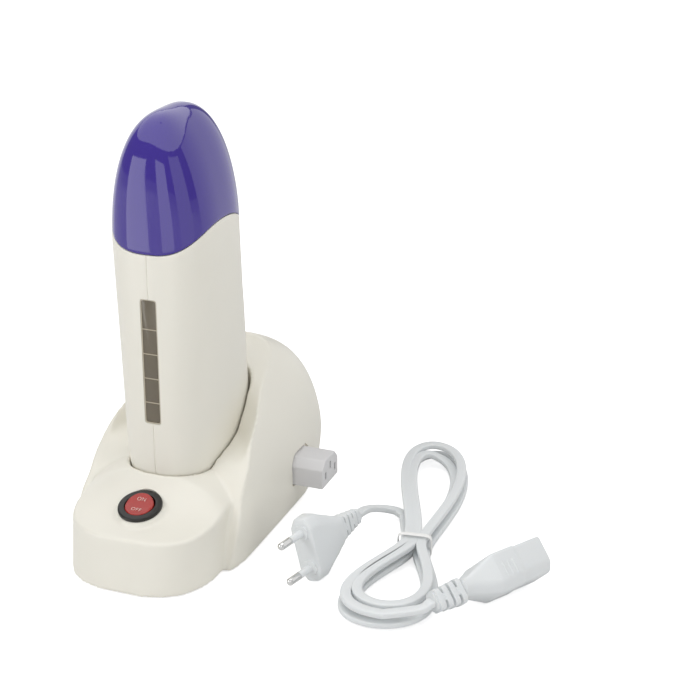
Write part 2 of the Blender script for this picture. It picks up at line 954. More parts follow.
    def pins(self) -> list[bpy.types.Object]:
        """Makes the two round pins and their sleeves.

        Returns:
            The pins and the sleeves, one piece each.
        """
        r = self.pin_d / 2
        bright, sleeved = [], []
        for sign in (-1, 1):
            at = self.at_plug() @ Matrix.Translation((0, 0, sign * self.pin_pitch / 2))
            at = at @ Matrix.Rotation(math.radians(-90), 4, "Y")
            tip = [
                (r * math.cos(a), self.pin_l - r * 0.7 + r * 0.7 * math.sin(a))
                for a in (math.radians(15 * k) for k in range(6))
            ]
            pin = [(r - 0.4, -6.9), (r - 0.4, self.sleeve_l + 0.05), (r - 0.08, self.sleeve_l + 0.05)]
            pin += [(r, self.sleeve_l + 0.2)] + tip + [(0.02, self.pin_l)]
            bright.append(mesh_object("pin", *lathe(pin, 48), at))
            sleeve = [(r - 0.1, -6.8), (r, -6.7), (r, self.sleeve_l - 0.25)]
            sleeve += [(r - 0.15, self.sleeve_l), (r - 0.38, self.sleeve_l)]
            sleeved.append(mesh_object("sleeve", *lathe(sleeve, 48), at))
        made = []
        for pair, name, slot, node in (
            (bright, "plug_bright_pins", "nickel", "plug_pins"),
            (sleeved, "plug_pin_sleeves", "white_pvc", "pin_sleeves"),
        ):
            piece = merge(pair, name)
            smooth(piece, 40)
            made.append(finish_piece(piece, Body.BASE, self.finishes[slot], slot, node))
        return made

    def relief_tree(self) -> bpy.types.NodeTree:
        """Node tree that repeats a rib along a tapering strain relief.

        Returns:
            The tree, with the number of ribs, their pitch and the taper as inputs.
        """
        tree = geometry_tree(
            "relief_ribs",
            [
                ("Rib", "Geometry", None),
                ("Count", "Int", 5),
                ("Pitch", "Float", 4 * MM),
                ("Taper", "Float", 0.08),
                ("Rubber", "Material", None),
            ],
            "Ribs",
        )
        given = place(tree, "NodeGroupInput").outputs
        step = place(tree, "ShaderNodeCombineXYZ", {"X": given["Pitch"]})
        line = place(
            tree,
            "GeometryNodeMeshLine",
            {"Count": given["Count"], "Offset": step.outputs["Vector"]},
            mode="OFFSET",
            count_mode="TOTAL",
        )
        number = place(tree, "GeometryNodeInputIndex")
        shrink = place(
            tree,
            "ShaderNodeMath",
            {0: number.outputs["Index"], 1: given["Taper"]},
            operation="MULTIPLY",
        )
        size = place(tree, "ShaderNodeMath", {0: 1.0, 1: shrink.outputs[0]}, operation="SUBTRACT")
        scale = place(
            tree,
            "ShaderNodeCombineXYZ",
            {"X": 1.0, "Y": size.outputs[0], "Z": size.outputs[0]},
        )
        ribs = place(
            tree,
            "GeometryNodeInstanceOnPoints",
            {
                "Points": line.outputs["Mesh"],
                "Instance": given["Rib"],
                "Scale": scale.outputs["Vector"],
            },
        )
        end_tree(tree, ribs.outputs["Instances"], given["Rubber"], "Ribs")
        return tree

    def relief(
        self,
        name: str,
        length: float,
        foot: tuple[float, float],
        tip: tuple[float, float],
        count: int,
        at: Matrix,
    ) -> bpy.types.Object:
        """Makes a ribbed strain relief.

        Args:
            name: The piece's name.
            length: Its length.
            foot: Height and thickness where it meets the plug or connector.
            tip: Height and thickness where the cord leaves it.
            count: Number of ribs.
            at: Its frame, with x from the foot to the tip.

        Returns:
            The strain relief.
        """
        pitch = length / count
        thick = pitch - 1.25
        corner = min(foot) * 0.28

        def outline(h: float, t: float) -> Outline:
            a, b = t / 2, h / 2
            return rounded([(-a, -b), (a, -b), (a, b), (-a, b)], corner, 4)

        def slab(x0: float, x1: float, h: float, t: float, edge: float) -> tuple[Row, list]:
            rows = [
                [(x, y, z) for y, z in outline(h - cut, t - cut)]
                for x, cut in ((x0, edge * 2), (x0 + edge, 0.0), (x1 - edge, 0.0), (x1, edge * 2))
            ]
            return loft(rows)

        taper = (1 - tip[0] / foot[0]) / max(1, count - 1)
        rib = mesh_object("rib", *slab(0.0, thick, foot[0], foot[1], 0.3))
        run_tree(
            rib,
            self.relief_tree(),
            {
                "Count": count,
                "Pitch": pitch * MM,
                "Taper": taper,
                "Rubber": self.finishes["white_pvc"],
            },
        )
        rib.data.transform(in_metres(at))
        # the core, and the bridges that stand in every other slot on each side
        core_rows = [
            [
                (x, y * k, z * k)
                for y, z in outline(foot[0] - (foot[0] - tip[0]) * u, foot[1] - (foot[1] - tip[1]) * u)
            ]
            for x, u, k in ((0.2, 0.0, 0.62), (length * 0.5, 0.5, 0.66), (length - 0.05, 1.0, 0.82))
        ]
        parts = [rib, mesh_object("core", *loft(core_rows), at)]
        for i in range(count - 1):
            x = i * pitch + thick - 0.1
            k = 1 - taper * (i + 0.6)
            h, t = foot[0] * k / 2 - 0.25, foot[1] * k / 2 - 0.25
            if i % 2 == 0:
                parts.append(box_tool((x, -t, -h * 0.34), (x + 1.45, t, h * 0.34), at))
            else:
                parts.append(box_tool((x, -t * 0.4, -h), (x + 1.45, t * 0.4, h), at))
        piece = merge(parts, name)
        smooth(piece, 35)
        return piece

    def connector(self) -> list[bpy.types.Object]:
        """Makes the appliance connector, its blades and its grip.

        Returns:
            The connector's body and its blades.
        """
        at = self.at_connector() @ Matrix.Translation((self.connector_relief, 0, 0))

        def outline(grow: float, radius: float) -> Outline:
            w, h, c = self.nose[0] / 2 + grow, self.nose[1] / 2 + grow, 4.5
            # the two cut corners lie below in the connector's own frame
            shape = [(-w, h), (w, h), (w, c - h), (w - c, -h), (c - w, -h), (-w, c - h)]
            return rounded(shape, radius, 4)

        full = 0.4 + self.shroud
        stations = [
            (0.0, -4.2, 1.4),
            (0.5, -3.4, 1.8),
            (3.0, -3.2, 2.0),
            (6.0, -2.3, 2.2),
            (10.0, -0.8, 2.3),
            (14.0, 0.6, 2.2),
            (self.neck - 0.6, full - 0.15, 1.9),
            (self.neck + 0.4, full, 1.8),
            (self.neck + 13.2, full, 1.8),
            (self.neck + 14.0, full - 0.1, 1.8),
            (self.neck + 14.5, full - 0.5, 1.8),
            (self.connector_l - 1.0, full - 0.5, 1.8),
            (self.connector_l - 0.3, full - 0.7, 1.7),
            (self.connector_l, full - 1.1, 1.5),
        ]
        rows = [[(x, y, z) for y, z in outline(grow, r)] for x, grow, r in stations]
        body = mesh_object("connector_shell", *loft(rows), at)
        floor = self.connector_l - self.nose_reach
        mouth_rows = [[(x, y, z) for y, z in outline(0.4, 1.0)] for x in (floor, self.connector_l + 1)]
        combine(body, [mesh_object("tool", *loft(mouth_rows), at)], "DIFFERENCE")
        extras = []
        for sign in (-1, 1):
            wall = sign * (self.nose[0] / 2 + full)
            for i in range(3):
                x = self.neck + 3 + 3.2 * i
                extras.append(self.ridge(x, wall, sign, at))
        # raised pointer on the broad upper face
        top = self.nose[1] / 2 + full
        wedge = [(self.neck + x, y) for x, y in ((9.5, 0.0), (4.5, 3.2), (4.5, 1.6), (1.5, 1.6))]
        wedge += [(x, -y) for x, y in reversed(wedge[1:])]
        rows = [[(x, y, z) for x, y in wedge] for z in (top - 0.6, top + 0.28)]
        extras.append(mesh_object("pointer", *loft(rows), at))
        piece = merge([body] + extras, "connector_shell")
        smooth(piece, 32)
        finish_piece(piece, Body.BASE, self.finishes["white_pvc"], "white_pvc", "lead_connector")
        blades = []
        for across, up in self.contacts:
            low = (floor - 6, across - 0.8, -up - 1.9)
            blades.append(box_tool(low, (floor + 6, across + 0.8, -up + 1.9), at))
        metal = merge(blades, "connector_blades")
        soften(metal, 0.25)
        finish_piece(metal, Body.BASE, self.finishes["nickel"], "nickel", "connector_pins")
        return [piece, metal]

    @staticmethod
    def ridge(x: float, wall: float, sign: int, at: Matrix) -> bpy.types.Object:
        """Makes one grip ridge on a side wall of the connector.

        Args:
            x: Where it starts along the connector.
            wall: The wall that it stands on.
            sign: Which side that is.
            at: The connector's frame.

        Returns:
            The ridge.
        """
        rows = []
        for z, k in ((-4.2, 0.2), (-3.6, 0.9), (-2.6, 1.0), (2.6, 1.0), (3.6, 0.9), (4.2, 0.2)):
            arc = [(x + 0.8 - 0.8 * math.cos(a), wall - sign * 0.3 + sign * k * 0.65 * math.sin(a), z)
                   for a in (math.pi * n / 6 for n in range(7))]
            rows.append(arc + [(x + 1.6, wall - sign * 0.6, z), (x, wall - sign * 0.6, z)])
        return mesh_object("ridge", *loft(rows), at)

    def tie(self) -> bpy.types.Object:
        """Makes the paper-covered wire tie round the hank's waist.

        Returns:
            The tie.
        """
        low, high = self.layers()
        step = self.cord_t + 0.6
        half = 2.03 * step
        left, right = half + self.cord_t / 2 + 0.3, half - 0.5 * step + self.cord_t / 2 + 0.3
        at = turned((self.waist[0], self.waist[1], 0), (self.heading - 90, "Z"), (90, "X"))

        def ring(grow: float, z: float) -> Row:
            made = []
            for i in range(96):
                w = math.tau * (i + 0.5) / 96
                c, s = math.cos(w), math.sin(w)
                x = (right - left) / 2 + ((left + right) / 2 + grow) * math.copysign(abs(c) ** 0.35, c)
                reach = (high - low + self.cord_w) / 2 + 0.35 + grow
                y = (low + high) / 2 + reach * math.copysign(abs(s) ** 0.35, s)
                made.append((x, y, z))
            return made

        section = [(0.05, -1.45), (0.35, -1.5), (0.55, -0.9), (0.62, -0.35), (0.69, 0.0)]
        section += [(0.62, 0.35), (0.55, 0.9), (0.35, 1.5), (0.05, 1.45)]
        rings = [ring(g, z) for g, z in section]
        count = len(rings[0])
        points = [p for r in rings for p in r]
        faces = []
        for j in range(len(rings)):
            n = (j + 1) % len(rings)
            for i in range(count):
                k = (i + 1) % count
                faces.append((j * count + i, j * count + k, n * count + k, n * count + i))
        piece = mesh_object("paper_wire_tie", points, faces, at)
        smooth(piece, 50)
        return finish_piece(piece, Body.BASE, self.finishes["tie"], "tie", "cord_tie")

    def build(self) -> None:
        """Makes the whole lead and declares its cord."""
        cord = self.cord()
        plug = self.plug()
        pins = self.pins()
        plug_relief = self.relief(
            "plug_ribbed_relief",
            self.plug_relief,
            (13.0, 9.5),
            (8.4, 6.6),
            5,
            self.at_plug() @ Matrix.Translation((self.plug_body, 0, 0)),
        )
        finish_piece(plug_relief, Body.BASE, self.finishes["white_pvc"], "white_pvc", "plug_strain_relief")
        turned_back = self.at_connector() @ Matrix.Translation((self.connector_relief, 0, 0))
        connector_relief = self.relief(
            "connector_ribbed_relief",
            self.connector_relief,
            (13.0, 11.0),
            (11.0, 9.0),
            4,
            turned_back @ Matrix.Rotation(math.pi, 4, "Z"),
        )
        finish_piece(
            connector_relief, Body.BASE, self.finishes["white_pvc"], "white_pvc", "connector_strain_relief"
        )
        connector = self.connector()
        tie = self.tie()


def run_tree(piece: bpy.types.Object, tree: bpy.types.NodeTree, values: dict[str, object]) -> None:
    """Runs a node tree on a piece and keeps its result as a plain mesh.

    Args:
        piece: The piece that carries the tree.
        tree: The node tree.
        values: A value for each named input.
    """
    step = piece.modifiers.new("shape", "NODES")
    step.node_group = tree
    for item in tree.interface.items_tree:
        if item.item_type == "SOCKET" and item.in_out == "INPUT" and item.name in values:
            step[item.identifier] = values[item.name]
    bake(piece)


def merge(pieces: Sequence[bpy.types.Object], name: str) -> bpy.types.Object:
    """Puts several meshes into one piece.

    Args:
        pieces: The objects, which are removed.
        name: The new piece's name.

    Returns:
        The piece.
    """
    joined = bmesh.new()
    for piece in pieces:
        joined.from_mesh(piece.data)
    for piece in pieces:
        bpy.data.objects.remove(piece)
    mesh = bpy.data.meshes.new(name)
    joined.to_mesh(mesh)
    joined.free()
    made = bpy.data.objects.new(name, mesh)
    bpy.context.scene.collection.objects.link(made)
    return made


# ---- the handset -------------------------------------------------------------------------------------------


@dataclass
class HandsetForm:
    """Sizes of the handset's skin, and its sections."""

    width: float = 53.2
    depth: float = 77.4
    wall: float = 2.4
    foot: float = 36.0
    top: float = 232.6
    seam_front: float = 165.5
    seam_rise: float = 13.0
    lid_wall: float = 2.2
    front: float = -47.5
    square: float = 2.8
    toe_h: float = 22.0
    toe_in: float = 2.8
    crest: float = 30.5
    tilt: float = math.degrees(math.atan(1.56 / 100))

    def __post_init__(self) -> None:
        """Works out where the dome starts and where the seam is highest."""
        self.dome_foot = self.seam_front - 0.5
        self.neck_in = self.lid_wall + 0.5
        self.neck_foot = self.seam_front - 11
        self.neck_top = self.seam_front + 18.5
        self.seam_y = self.front_at(self.dome_foot) + self.crest

    def toe(self, z: float) -> float:
        """How far the foot is drawn in at a height."""
        return self.toe_in * max(0.0, 1 - (z - self.foot) / self.toe_h) ** 2

    def half_width(self, z: float) -> float:
        """Half the handset's width at a height."""
        return self.width / 2 + 0.021 * (z - 100) - self.toe(z)

    def front_at(self, z: float) -> float:
        """The front's y at a height."""
        return self.front + 0.0156 * (z - 100) + self.toe(z)

    def rear_at(self, z: float) -> float:
        """The rear's y at a height."""
        return self.front + self.depth - 0.0984 * (z - 100) - self.toe(z)

    def middle(self, z: float) -> float:
        """The y of the section's widest line at a height."""
        lean = 2.8 * ((z - self.foot) / (self.dome_foot - self.foot)) ** 2
        return (self.front_at(z) + self.rear_at(z)) / 2 - lean

    def point(self, angle: float, z: float, inset: float = 0.0) -> Point:
        """Point of the skin.

        Args:
            angle: The section's parameter in radians, from -pi/2 at the front to pi/2 at the rear.
            z: Height.
            inset: How far inside the skin.

        Returns:
            The point.
        """
        inset += self.crease(angle, z)
        c, s = math.cos(angle), math.sin(angle)
        e = 2 / self.square
        x = math.copysign(abs(c) ** e, c)
        y = math.copysign(abs(s) ** e, s)
        low = min(z, self.dome_foot)
        m = self.middle(low)
        a = self.half_width(low) - inset
        f, r = m - self.front_at(low) - inset, self.rear_at(low) - m - inset
        if z > self.dome_foot:
            u = min(1.0, (z - self.dome_foot) / (self.top - inset - self.dome_foot))
            a *= (1 - u**2) ** (1 / 2)
            f *= (1 - u**3.35) ** (1 / 3.35)
            r *= (1 - u**3.25) ** (1 / 3.25)
        return a * x, m + (f if s < 0 else r) * y, z

    def crease(self, angle: float, z: float) -> float:
        """How far the skin steps in behind the slanting crease on each side.

        Args:
            angle: The section's parameter in radians.
            z: Height.

        Returns:
            The step, which fades out towards the crease's ends.
        """
        ends = min(1.0, max(0.0, (z - 118) / 16)) * min(1.0, max(0.0, (178 - z) / 12))
        if ends == 0.0:
            return 0.0
        line = -0.62 + 0.5 * ((z - 125) / 39) ** 1.4 if z > 125 else -0.62
        behind = min(1.0, max(0.0, (angle - line) / 0.07))
        fade = min(1.0, max(0.0, (1.15 - angle) / 0.9))
        return 0.4 * ends * behind * fade

    def seam(self, y: float) -> float:
        """Height of the lid's seam at a y."""
        reach = self.crest if y < self.seam_y else 36.0
        return self.seam_front + self.seam_rise * (1 - (abs(y - self.seam_y) / reach) ** 2.3)

    def seam_at(self, angle: float) -> float:
        """Height of the seam on the skin at a section's parameter."""
        z = self.seam_front
        for _ in range(12):
            z = self.seam(self.point(angle, z)[1])
        return z

    def angles(self, count: int) -> list[float]:
        """Parameters from the front to the rear, evenly spaced along the skin.

        Args:
            count: Stretches between the front and the rear.

        Returns:
            Parameters in radians.
        """
        quarter = math.pi / 2
        fine = [-quarter + math.pi * (i / 4000) for i in range(4001)]
        # the corners of the section turn fastest, so the ends of each quarter are sampled finer
        fine = [math.copysign(quarter - (quarter - abs(a)) ** 1.6 / quarter**0.6, a) for a in fine]
        length = [0.0]
        for a, b in zip(fine, fine[1:]):
            p, q = self.point(a, 100.0), self.point(b, 100.0)
            length.append(length[-1] + math.dist(p, q))
        made, j = [], 0
        for i in range(count + 1):
            goal = length[-1] * i / count
            while j < len(length) - 2 and length[j + 1] < goal:
                j += 1
            span = length[j + 1] - length[j] or 1.0
            made.append(fine[j] + (fine[j + 1] - fine[j]) * (goal - length[j]) / span)
        return made


@dataclass
class Handset:
    """The handset: two shells, the lid's neck, window and lid."""

    finishes: FinishSet
    form: HandsetForm = field(default_factory=HandsetForm)
    columns: int = 84
    rows: int = 64
    window: tuple[float, float] = (9.0, 67.0)
    window_z: float = 75.3
    levels: int = 4
    rim_w: float = 0.55
    level_first: float = 11.2
    level_step: float = 13.2
    screw_z: float = 52.0
    screw_ys: tuple[float, float] = (-32.0, 16.0)

    def at_window(self) -> Matrix:
        """Frame of the window: y inwards from the skin, z up from its foot."""
        return turned((0, self.form.front_at(self.window_z), self.window_z), (-self.form.tilt, "X"))

    def window_prism(self, grow: float, depth: tuple[float, float], radius: float) -> bpy.types.Object:
        """Solid with the window's outline.

        Args:
            grow: How far it stands out all round.
            depth: Where it starts and ends, inwards from the skin.
            radius: Rounding of its corners.

        Returns:
            The solid.
        """
        w, h = self.window[0] / 2 + grow, self.window[1] + grow
        outline = rounded([(-w, -grow), (w, -grow), (w, h), (-w, h)], radius, 4)
        return mesh_object("tool", *loft([[(x, y, z) for x, z in outline] for y in depth]), self.at_window())

    def shell_half(self, side: Side) -> bpy.types.Object:
        """Makes one shell of the handset, with rolled edges along its seams.

        Args:
            side: Which half.

        Returns:
            The shell.
        """
        form = self.form
        angles = form.angles(self.columns)
        # columns close to the joint of the two shells roll in, which leaves the hairline between them
        near = angles[0] + (angles[1] - angles[0]) * 0.06
        far = angles[-1] - (angles[-1] - angles[-2]) * 0.06
        nearer = angles[0] + (angles[1] - angles[0]) * 0.16
        farther = angles[-1] - (angles[-1] - angles[-2]) * 0.16
        spread = [(angles[0], 0.32), (near, 0.1), (nearer, 0.0)]
        spread += [(a, 0.0) for a in angles[1:-1]]
        spread += [(farther, 0.0), (far, 0.1), (angles[-1], 0.32)]
        heights = [(0.0, 0.9), (0.25, 0.4), (0.9, 0.0)]
        outer: list[Row] = []
        inner: list[Row] = []
        top = [(-0.8, 0.0), (-0.4, 0.06), (-0.24, 0.2), (-0.2, 0.45)]
        profile: list[tuple[str, float, float]] = [("foot", dz, inset) for dz, inset in heights]
        profile += [("body", i / self.rows, 0.0) for i in range(1, self.rows)]
        profile += [("seam", dz, inset) for dz, inset in top]
        for kind, value, inset in profile:
            out_row, in_row = [], []
            for angle, cut in spread:
                seam = form.seam_at(angle)
                if kind == "foot":
                    z = form.foot + value
                elif kind == "seam":
                    z = seam + value
                else:
                    z = form.foot + 0.9 + (seam - 0.8 - form.foot - 0.9) * value
                x, y, z = form.point(angle, z, inset + cut)
                out_row.append((side.value * x, y, z))
                x, y, z = form.point(angle, z, form.wall)
                in_row.append((side.value * x, y, z))
            outer.append(out_row)
            inner.append(in_row)
        piece = mesh_object(f"grip_shell_{side.name.lower()}", *shell(outer, inner, False, False))
        tools = [self.window_prism(0.1, (-2, 8), 1.6)]
        if side is Side.LEFT:
            for y in self.screw_ys:
                at = turned((0, y, self.screw_z), (90, "Y"))
                tools.append(bore_tool(3.2, -40, -12, at))
        combine(piece, tools, "DIFFERENCE")
        smooth(piece, 35)
        name = f"shell_{side.name.lower()}"
        return finish_piece(piece, Body.HANDSET, self.finishes["ivory_abs"], "ivory_abs", name)

    def neck(self) -> bpy.types.Object:
        """Makes the collar that the lid is pushed over.

        Returns:
            The collar.
        """
        form = self.form
        half = form.angles(self.columns)
        around = half + [math.pi - a for a in reversed(half[1:-1])]
        inset, wall = form.neck_in, 1.7
        steps = [(form.neck_foot, 0.0), (form.dome_foot, 0.0)]
        steps += [(form.dome_foot + 18 * i / 12, 0.0) for i in range(1, 12)]
        steps += [(form.neck_top - 0.6, 0.0), (form.neck_top - 0.2, 0.12), (form.neck_top, 0.5)]
        outer = [[form.point(a, z, inset + cut) for a in around] for z, cut in steps]
        inner = [[form.point(a, z, inset + wall) for a in around] for z, _ in steps]
        piece = mesh_object("neck_collar", *shell(outer, inner, True, False))
        smooth(piece, 35)
        return finish_piece(piece, Body.HANDSET, self.finishes["ivory_abs"], "ivory_abs")

    def lid(self) -> bpy.types.Object:
        """Makes the glossy lid.

        Returns:
            The lid.
        """
        form = self.form
        half = form.angles(self.columns)
        around = half + [math.pi - a for a in reversed(half[1:-1])]
        seams = [form.seam_at(a) for a in around]
        lip = [(0.2, 0.5), (0.24, 0.25), (0.42, 0.06), (0.8, 0.0)]
        outer: list[Row] = []
        inner: list[Row] = []
        for dz, inset in lip:
            outer.append([form.point(a, s + dz, inset) for a, s in zip(around, seams)])
            inner.append([form.point(a, s + dz, form.lid_wall) for a, s in zip(around, seams)])
        # rings draw together towards the top, where the skin turns fastest
        for i in range(1, self.rows + 1):
            u = i / self.rows
            rise = math.sin(math.pi / 2 * u) * 0.72 + (1 - (1 - u) ** 3) * 0.28
            outer_row, inner_row = [], []
            for a, s in zip(around, seams):
                z = s + 0.8 + (form.top - 0.004 - s - 0.8) * rise
                outer_row.append(form.point(a, z))
                z = s + 0.8 + (form.top - form.lid_wall - 0.004 - s - 0.8) * rise
                inner_row.append(form.point(a, z, form.lid_wall))
            outer.append(outer_row)
            inner.append(inner_row)
        piece = mesh_object("glossy_lid", *shell(outer, inner, True, True))
        fins = [
            box_tool(
                (s * 23.5 - 2, form.seam_y - 0.8, form.neck_top),
                (s * 23.5 + 2, form.seam_y + 0.8, form.neck_top + 5),
            )
            for s in (-1, 1)
        ]
        piece = merge([piece, *fins], "glossy_lid")
        smooth(piece, 40)
        return finish_piece(piece, Body.LID, self.finishes["purple_lid"], "purple_lid", "lid")

    def line_tree(self) -> bpy.types.NodeTree:
        """Node tree that repeats a level line up the window.

        Returns:
            The tree, with the number of lines and their step as inputs.
        """
        tree = geometry_tree(
            "level_lines",
            [
                ("Line", "Geometry", None),
                ("Count", "Int", self.levels),
                ("Step", "Vector", (0, 0, self.level_step * MM)),
                ("Ink", "Material", None),
            ],
            "Lines",
        )
        given = place(tree, "NodeGroupInput").outputs
        line = place(
            tree,
            "GeometryNodeMeshLine",
            {"Count": given["Count"], "Offset": given["Step"]},
            mode="OFFSET",
            count_mode="TOTAL",
        )
        lines = place(
            tree,
            "GeometryNodeInstanceOnPoints",
            {"Points": line.outputs["Mesh"], "Instance": given["Line"]},
        )
        end_tree(tree, lines.outputs["Instances"], given["Ink"], "Lines")
        return tree

    def level_window(self) -> list[bpy.types.Object]:
        """Makes the window's pane, its rim and its level lines.

        Returns:
            The pane, the rim and the lines.
        """
        at = self.at_window()
        w, h = self.window
        pane = self.window_prism(0, (0.6, 2.8), 1.6)
        flange = box_tool((-w / 2 - 2, 2.8, -2), (w / 2 + 2, 4.0, h + 2), at)
        pane = merge([pane, flange], "level_window_pane")
        soften(pane, 0.25)
        finish_piece(pane, Body.HANDSET, self.finishes["smoky_window"], "smoky_window", "level_window")
        rim = self.window_prism(0, (0.3, 0.75), 1.6)
        rim.name = "level_window_rim"
        combine(rim, [self.window_prism(-self.rim_w, (-1, 2), 1.3)], "DIFFERENCE")
        soften(rim, 0.12)
        finish_piece(rim, Body.HANDSET, self.finishes["window_edge"], "smoky_window")
        edge = w / 2 - self.rim_w
        line = box_tool((-edge, 0.45, self.level_first), (edge, 0.75, self.level_first + 0.5))
        run_tree(line, self.line_tree(), {"Ink": self.finishes["window_line"]})
        line.data.transform(in_metres(at))
        line.name = "level_lines"
        smooth(line)
        finish_piece(line, Body.HANDSET, self.finishes["window_line"], "smoky_window")
        return [pane, rim, line]

    def build(self) -> None:
        """Makes the handset's pieces."""
        for side in Side:
            self.shell_half(side)
        self.neck()
        self.level_window()
        self.lid()


# ---- the docking base --------------------------------------------------------------------------------------


@dataclass
class DockingBase:
    """The docking base: hood, front lobe with its deck, switch and side socket."""

    finishes: FinishSet
    handset: HandsetForm = field(default_factory=HandsetForm)
    length: float = 186.0
    hood_w: float = 100.0
    hood_floor_w: float = 93.0
    hood_h: float = 96.0
    hood_rear: float = 76.0
    tuck_h: float = 38.0
    rear_tuck: float = 20.0
    lobe_w: float = 80.0
    lobe_reach: float = 43.0
    lobe_squareness: float = 2.72
    rim_h: float = 26.0
    wall: float = 2.4
    stand: float = 1.0
    ridge_foot: float = -53.5
    # the y of the hood's front edge at heights
    ridge: tuple[tuple[float, float], ...] = (
        (-6, -54), (0, -53.5), (12, -52), (24, -48), (36, -40), (44, -33.5), (50, -27.5), (58, -19.5),
        (64, -10.5), (71, 1), (76, 14), (79, 25), (81, 35), (83, 44), (86, 51), (90, 54), (101, 56),
    )
    front_squareness: tuple[float, float] = (8.5, 4.5)
    bowl: tuple[tuple[float, float], ...] = ((50, 0), (57, 23), (66, 17), (76, 6), (84, 0), (90, 0))
    half_bowl: float = 40.0
    crown_run: float = 40.0
    crown_rise: float = 13.0
    pocket_gap: float = 0.8
    switch_place: Point = (0.0, -66.3, 38.2)
    switch_tilt: float = 14.9
    bezel_d: float = 23.0
    rocker_d: float = 15.0
    throw: float = 16.0
    pivot: float = -4.0
    socket: Point = (49.0, 30.1, 25.4)
    nose: tuple[float, float] = (22.8, 15.6)
    nose_reach: float = 17.0
    contacts: tuple[tuple[float, float], ...] = ((-6.7, -1.4), (6.7, -1.4), (0.0, 2.4))
    voxel: float = 1.0

    @staticmethod
    def oval(a: float, f: float, r: float, nf: float, nr: float, y: float, count: int) -> Outline:
        """Superellipse outline.

        Args:
            a: Half its width.
            f: Its reach to the front.
            r: Its reach to the rear.
            nf: Squareness of the front.
            nr: Squareness of the rear.
            y: Its widest line.
            count: Points round it.

        Returns:
            The outline's points.
        """
        made = []
        for i in range(count):
            t = math.tau * i / count
            # points gather where the outline runs along x or y
            t += 0.18 * math.sin(4 * t)
            c, s = math.cos(t), math.sin(t)
            n = nf if s < 0 else nr
            made.append(
                (
                    a * math.copysign(abs(c) ** (2 / n), c),
                    y + (f if s < 0 else r) * math.copysign(abs(s) ** (2 / n), s),
                )
            )
        return made

    @staticmethod
    def dome(u: float, p: float, q: float) -> float:
        """Share of its foot that a dome keeps at a share of its height."""
        return max(0.0, 1 - min(u, 0.9995) ** p) ** (1 / q)

    def tuck(self, z: float) -> float:
        """How much the hood is drawn in at a height, from 0 to 1."""
        return max(0.0, 1 - z / self.tuck_h) ** 2

    def hood_ring(self, z: float, t: float = 0.0, count: int = 160) -> Outline:
        """Outline of the hood at a height, t inside its skin."""
        u = max(0.0, z) / (self.hood_h - t)
        rise = self.dome(u, 4.7, 1.7)
        reach = (self.hood_rear - t - self.rear_tuck * self.tuck(z)) * rise
        half = self.hood_w / 2 - t - (self.hood_w - self.hood_floor_w) / 2 * self.tuck(z)
        y = self.length / 2 - self.hood_rear
        # the front keeps its full reach to the foot, and is squarer there
        front = (self.hood_rear - t) * rise
        blend = min(1.0, max(0.0, (z - 18) / 20))
        low, high = self.front_squareness
        nf = low + (high - low) * blend * blend * (3 - 2 * blend)
        return self.oval(half * self.dome(u, 2.6, 1.8), front, reach, nf, 3.7, y, count)

    def ridge_y(self, z: float) -> float:
        """The y of the hood's front edge at a height."""
        knots = self.ridge
        i = max(1, min(len(knots) - 3, sum(1 for height, _ in knots if height <= z) - 1))
        (za, a), (zb, b), (zc, c), (zd, d) = knots[i - 1 : i + 3]
        u = min(1.0, max(0.0, (z - zb) / (zc - zb)))
        leave = (c - a) / (zc - za) * (zc - zb)
        reach = (d - b) / (zd - zb) * (zc - zb)
        start = (2 * u**3 - 3 * u**2 + 1) * b + (u**3 - 2 * u**2 + u) * leave
        return start + (3 * u**2 - 2 * u**3) * c + (u**3 - u**2) * reach

    def bowl_depth(self, z: float) -> float:
        """How far the middle of the hood's front edge lies behind its sides."""
        table = self.bowl
        if z <= table[0][0] or z >= table[-1][0]:
            return 0.0
        for (z0, d0), (z1, d1) in zip(table, table[1:]):
            if z <= z1:
                u = (z - z0) / (z1 - z0)
                ease = u * u * (3 - 2 * u)
                return d0 + (d1 - d0) * (0.5 * u + 0.5 * ease)
        return 0.0

    def front_cut(self) -> bpy.types.Object:
        """Solid in front of the hood's front edge."""
        rows = []
        for k in range(71):
            z = -5 + 105 * k / 70
            y = self.ridge_y(z)
            row = [(-70, -160, z), (70, -160, z), (70, y, z)]
            for i in range(16, -17, -1):
                x = self.half_bowl * math.sin(math.radians(90 * i / 16))
                row.append((x, y + self.bowl_depth(z) * (1 - (abs(x) / self.half_bowl) ** 3), z))
            row.append((-70, y, z))
            rows.append(row)
        return mesh_object("tool", *loft(rows))

    def deck_z(self, x: float, y: float) -> float:
        """Height of the deck at a place."""
        foot = 5 - self.length / 2
        rim = min(self.rim_h + 10, self.rim_h + 0.5 + 0.18 * (y - foot))
        crown = 2 + self.crown_rise * min(1.0, max(0.0, (y - foot) / self.crown_run)) ** 3
        return rim + crown * (1 - min(1.0, abs(x) / (self.lobe_w / 2)) ** 2.2)

    def lobe(self) -> bpy.types.Object:
        """Solid of the front lobe under its deck."""
        middle, half = self.lobe_reach - self.length / 2, self.lobe_w / 2
        n = self.lobe_squareness
        rows = []
        for z in [-1] + list(range(0, 62, 4)):
            reach = self.lobe_reach - 0.2 * max(0, z)
            rows.append([(x, y, z) for x, y in self.oval(half, reach, 60, n, n, middle, 160)])
        piece = mesh_object("lobe", *loft(rows))
        rows = []
        for k in range(91):
            y = -100 + 110 * k / 90
            row = [(50, y, -5), (-50, y, -5)]
            for i in range(-24, 25):
                # the outermost points lie well outside the lobe
                x = math.copysign(50, i) if abs(i) == 24 else half * math.sin(math.radians(90 * i / 23.5))
                row.append((x, y, self.deck_z(x, y)))
            rows.append(row)
        combine(piece, [mesh_object("tool", *loft(rows))], "INTERSECT")
        return piece

